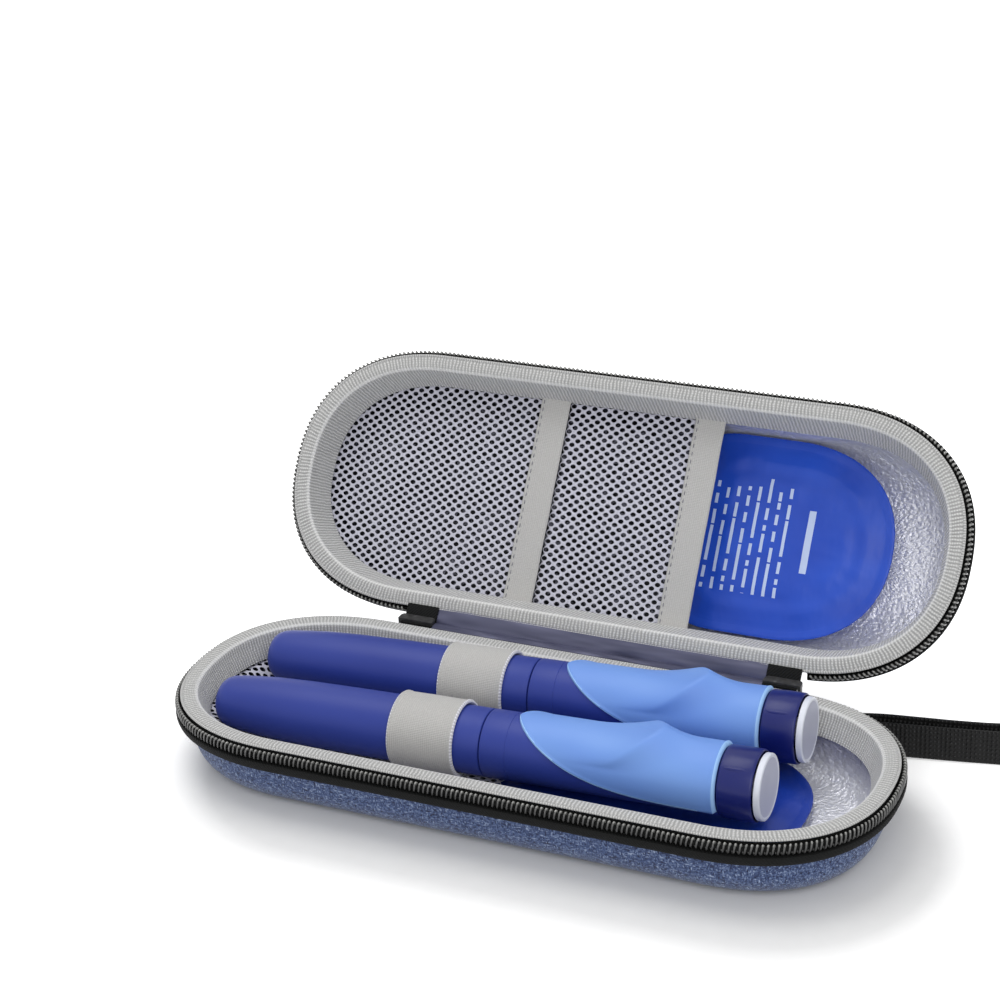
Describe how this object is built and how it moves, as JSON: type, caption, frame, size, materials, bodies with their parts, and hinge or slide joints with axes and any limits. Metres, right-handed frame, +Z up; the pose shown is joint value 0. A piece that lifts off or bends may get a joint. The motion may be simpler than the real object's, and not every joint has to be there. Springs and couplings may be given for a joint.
{
  "type": "insulin cooling case",
  "caption": "Open soft-shell cooling case for injection pens: foil-lined base and lid on a fabric hinge, with a net pocket, gel packs, pens in elastic loops, open zipper and wrist strap.",
  "frame": {"origin": "middle of the base half's flat bottom", "axes": "+X along the case's length, towards the pens' buttons; +Y towards the hinge; +Z up from the table"},
  "size_m": [0.3049, 0.1421, 0.0852],
  "materials": {
    "heather_cloth": "matte",
    "foil": "metallic",
    "woven_lining": "matte",
    "zipper_tape": "matte",
    "zipper_coil": "satin",
    "net": "matte",
    "elastic": "matte",
    "gel": "gloss",
    "gusset_film": "satin",
    "slider_metal": "satin",
    "pen_shell": "satin",
    "clear_plastic": "clear",
    "glass": "clear",
    "plunger_rubber": "matte",
    "rod": "matte",
    "grip": "satin",
    "dose_ring": "gloss",
    "button": "satin",
    "webbing": "matte"
  },
  "bodies": {
    "base": {"base_shell": "heather_cloth", "base_foil_liner": "foil", "base_rim_lining": "woven_lining", "base_zipper_tape": "zipper_tape", "base_zipper_coil": "zipper_coil", "base_net_pocket": "net", "pen_loop_front": "elastic", "pen_loop_rear": "elastic", "hinge_gusset": "gusset_film", "hinge_tab_left": "zipper_tape", "hinge_tab_right": "zipper_tape", "slider_left": "slider_metal", "slider_right": "slider_metal", "strap_anchor": "webbing", "wrist_strap": "webbing"},
    "lid": {"lid_shell": "heather_cloth", "lid_foil_liner": "foil", "lid_rim_lining": "woven_lining", "lid_zipper_tape": "zipper_tape", "lid_zipper_coil": "zipper_coil", "lid_net_outer": "net", "lid_net_inner": "net", "lid_band_outer": "elastic", "lid_band_inner": "elastic"},
    "base_gel": {"base_gel_pack": "gel"},
    "lid_gel": {"lid_gel_pack": "gel"},
    "pen_front": {"pen_front_cap": "pen_shell", "pen_front_cartridge_holder": "clear_plastic", "pen_front_cartridge": "glass", "pen_front_plunger": "plunger_rubber", "pen_front_piston_rod": "rod", "pen_front_barrel": "pen_shell", "pen_front_grip": "grip"},
    "ring_front": {"pen_front_dose_ring": "dose_ring"},
    "button_front": {"pen_front_injection_button": "button"},
    "pen_rear": {"pen_rear_cap": "pen_shell", "pen_rear_cartridge_holder": "clear_plastic", "pen_rear_cartridge": "glass", "pen_rear_plunger": "plunger_rubber", "pen_rear_piston_rod": "rod", "pen_rear_barrel": "pen_shell", "pen_rear_grip": "grip"},
    "ring_rear": {"pen_rear_dose_ring": "dose_ring"},
    "button_rear": {"pen_rear_injection_button": "button"},
    "pull_left": {"slider_pull_left": "slider_metal"},
    "pull_right": {"slider_pull_right": "slider_metal"}
  },
  "joints": [
    {"name": "lid_hinge", "type": "hinge", "parent": "base", "child": "lid", "pos_m": [0, 0.04039, 0.02123], "axis": [-1, 0, 0], "range_deg": [-125, 20], "deforming": ["hinge_gusset", "hinge_tab_left", "hinge_tab_right"]},
    {"name": "base_gel_slide", "type": "slide", "parent": "base", "child": "base_gel", "axis": [1, 0, 0], "range_m": [0, 0.008]},
    {"name": "lid_gel_slide", "type": "slide", "parent": "lid", "child": "lid_gel", "axis": [1, 0, 0], "range_m": [-0.02, 0.01]},
    {"name": "pen_front_slide", "type": "slide", "parent": "base", "child": "pen_front", "axis": [0.9996, 0.0152, 0.0222], "range_m": [-0.001, 0.014]},
    {"name": "pen_rear_slide", "type": "slide", "parent": "base", "child": "pen_rear", "axis": [0.9993, 0.0316, 0.022], "range_m": [-0.001, 0.003]},
    {"name": "dose_ring_front_turn", "type": "hinge", "parent": "pen_front", "child": "ring_front", "pos_m": [0.06395, -0.0096, 0.01986], "axis": [0.9996, 0.0152, 0.0222], "range_deg": [0, 1080]},
    {"name": "dose_ring_rear_turn", "type": "hinge", "parent": "pen_rear", "child": "ring_rear", "pos_m": [0.06549, 0.01979, 0.02033], "axis": [0.9993, 0.0316, 0.022], "range_deg": [0, 1080]},
    {"name": "button_front_press", "type": "slide", "parent": "pen_front", "child": "button_front", "axis": [-0.9996, -0.0152, -0.0222], "range_m": [0, 0.0014], "stiffness_N_per_m": 200},
    {"name": "button_rear_press", "type": "slide", "parent": "pen_rear", "child": "button_rear", "axis": [-0.9993, -0.0316, -0.022], "range_m": [0, 0.0014], "stiffness_N_per_m": 200},
    {"name": "pull_left_swing", "type": "hinge", "parent": "base", "child": "pull_left", "pos_m": [-0.05135, 0.0426, 0.01828], "axis": [1, 0, 0], "range_deg": [-8, 20]},
    {"name": "pull_right_swing", "type": "hinge", "parent": "base", "child": "pull_right", "pos_m": [0.05835, 0.0426, 0.01828], "axis": [1, 0, 0], "range_deg": [-8, 20]}
  ]
}
